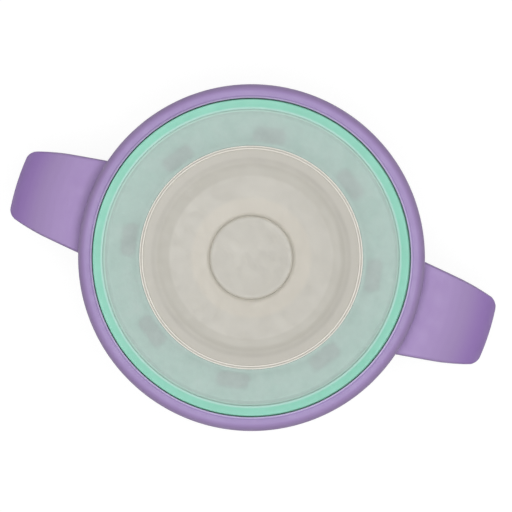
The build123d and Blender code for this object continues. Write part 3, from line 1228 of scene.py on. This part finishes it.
def drinking_rim():
    """Lip, flange, skirt, ribbed floor, bore and flow windows."""
    lip_inner = lip_radius - lip_wall
    lip_edge = lip_top - lip_slope
    outline = rounded([
        (bore_radius, floor_top, 0.2),
        (bore_radius, tube_bottom, 0.3),
        (tube_radius, tube_bottom, 0.3),
        (tube_radius, floor_bottom, 0.5),
        (skirt_inner, floor_bottom, 0.6),
        (skirt_inner, skirt_bottom, 0.4),
        (skirt_radius, skirt_bottom, 0.4),
        (skirt_radius, flange_bottom, 0),
        (flange_radius, flange_bottom, 0.3),
        (flange_radius, flange_top, 0.3),
        (lip_radius + relief_width, flange_top, 0.1),
        (lip_radius + relief_width - relief_taper, flange_top - relief_depth, 0),
        (lip_radius, flange_top - relief_depth, 0),
        (lip_radius + lip_swell, lip_top - lip_swell_depth, 0),
        (lip_radius + lip_swell, lip_top, 0.32),
        (lip_inner - lip_lean, lip_edge, 0.22),
        (lip_inner - lip_lean, lip_edge - lip_lean_depth, 0.3),
        (lip_inner, lip_edge - lip_lean_end, 0.4),
        (lip_inner, floor_top, 0.4),
    ])
    rib_ends = (tube_radius - rib_overlap, skirt_inner + rib_overlap)
    rib = radial_block(*rib_ends, rib_thickness, rib_bottom, floor_bottom + rib_overlap)
    first_rib = window_turn + math.pi / window_count
    rim = set_round(join_round, turned(outline, mint), rib, window_count, first_rib, mint)
    for index, slanted_side in enumerate(window_slants):
        angle = window_turn + math.tau * index / window_count
        rim = set_round(cut_round, rim, flow_window(slanted_side), window_copies, angle, mint)
    return rim


finish_piece("mint_drinking_rim", drinking_rim(), "lid", ["drinking_rim"])

# %% [markdown]
# The gasket is a plain soft ring that seals the rim's flange on the neck. Cut silicone would
# have sharp corners, but this ring is moulded, so they are slightly rounded.

# %% Gasket
gasket_round = 0.35


def gasket():
    """Flat moulded ring."""
    low, high = bottom("rim_gasket"), top("rim_gasket")
    places = [(skirt_radius, low), (neck_radius, low), (neck_radius, high), (skirt_radius, high)]
    return turned(rounded([(*place, gasket_round) for place in places]), clear_rubber)


finish_piece("sealing_gasket", gasket(), "lid", ["rim_gasket"])

# %% [markdown]
# The valve's soft skin lies flat under the disc, rises to a low, broad crown over the windows
# and turns up at its rim into a thin, low sealing edge, just under the leaning lip. The crown
# is level over most of its width and falls off towards both ends, which a fourth power gives.

# %% Valve skin
skin_thickness = 1.2
skin_seat = bottom("valve_membrane")
skin_peak = top("valve_membrane")
skin_squeeze = 0.03
crown_dip = 0.04
crown_steps = 12
seal_rise = 0.55
seal_thickness = 0.2
seal_reach = skin_radius + 0.07
skin_bore = bore_radius - 0.05
seat_wall = hub_radius + 0.02


def crown(first, last, peak):
    """Points of a broad low crown between two (radius, height) ends."""
    middle = (first[0] + last[0]) / 2
    points = []
    for step in range(-crown_steps, crown_steps + 1):
        share = step / crown_steps
        end = first if share < 0 else last
        across = middle + (end[0] - middle) * abs(share)
        points.append((across, peak + (end[1] - peak) * share**4))
    return points


def valve_skin():
    """The soft ring of the valve, with its thin sealing edge."""
    flat = skin_seat + skin_thickness - skin_squeeze
    shoulder = skin_peak - crown_dip
    under = skin_peak - skin_thickness
    held = [
        (skin_bore, skin_seat),
        (skin_bore, flat),
        (seat_wall, flat),
        (seat_wall, skin_peak - 0.1),
    ]
    upper = crown((hub_radius + 0.08, shoulder), (seal_reach - 1.5, shoulder), skin_peak)
    seal = rounded([
        (seal_reach - 1.3, shoulder, 0),
        (seal_reach - seal_thickness, skin_peak + seal_rise, 0.1),
        (seal_reach, skin_peak + seal_rise, 0.05),
        (seal_reach, under + 0.3, 0),
    ], closed=False)
    lower = crown((hub_radius + 0.9, skin_seat), (seal_reach - 0.15, under + 0.2), under)
    return turned([*held, *upper, *seal, *reversed(lower), held[0]], milky_skin)


finish_piece("valve_skin", valve_skin(), "valve", ["valve_membrane"])

# %% [markdown]
# The disc in the middle holds the skin down. A fine double bead runs round its edge. Inside
# it lies a shelf, then the surface sinks along half a cosine wave to a shallow dish, and a
# plain round panel, a little deeper still, marks the middle. The underside is flat and
# carries the plug.

# %% Valve disc
hub_seat = skin_seat + skin_thickness
hub_edge_top = hub_seat + 1.15
shelf_height = hub_edge_top - 0.8
bead_height = 0.16
double_bead = [
    (1.02, -0.02, 0.3),
    (0.92, bead_height, 0.06),
    (0.64, bead_height, 0.06),
    (0.52, 0, 0.04),
    (0.42, 0, 0.04),
    (0.3, bead_height, 0.06),
    (0.05, bead_height, 0.04),
]
dish_radius = hub_radius - 5.3
dish_drop = 1.0
dish_steps = 30
dish_thickness = 1.2
panel_depth = 0.12
panel_wall_drop = 0.1
plug_radius = bore_radius - 0.1
plug_wall = 1.5


def dish_height(radius):
    """Height of the dish at a distance from the axis."""
    return shelf_height - dish_drop * (0.5 + 0.5 * math.cos(math.pi * radius / dish_radius))


def dish_line():
    """Points from the axis out to the shelf: panel, its fine edge, and the dish."""
    radii = [dish_radius * step / dish_steps for step in range(dish_steps)]
    panel = [(radius, dish_height(radius) - panel_depth) for radius in radii if radius < panel_radius]
    dish = [(radius, dish_height(radius)) for radius in radii if radius >= panel_radius]
    level = dish[0][1] - panel_wall_drop
    edge = [
        (panel_radius - 0.25, level - panel_depth),
        (panel_radius - 0.12, level - panel_depth - 0.06),
        (panel_radius, level + 0.02),
    ]
    return panel + edge + dish


def valve_disc():
    """Disc with double edge bead, shelf, dish and plug."""
    underside = shelf_height - dish_drop - dish_thickness
    plug_bottom = bottom("valve_hub")
    plug_inner = plug_radius - plug_wall
    bead = [(hub_radius - inset, hub_edge_top + rise, soft) for inset, rise, soft in double_bead]
    rim = rounded([
        (dish_radius, shelf_height, 0),
        *bead,
        (hub_radius, hub_edge_top, 0),
        (hub_radius, hub_seat, 0.2),
        (plug_radius, hub_seat, 0),
        (plug_radius, plug_bottom, 0.3),
        (plug_inner, plug_bottom, 0.3),
        (plug_inner, underside, 0.5),
        (0, underside, 0),
    ], closed=False)
    return turned(dish_line() + rim, frosted_hub)


finish_piece("valve_disc", valve_disc(), "valve", ["valve_hub"])
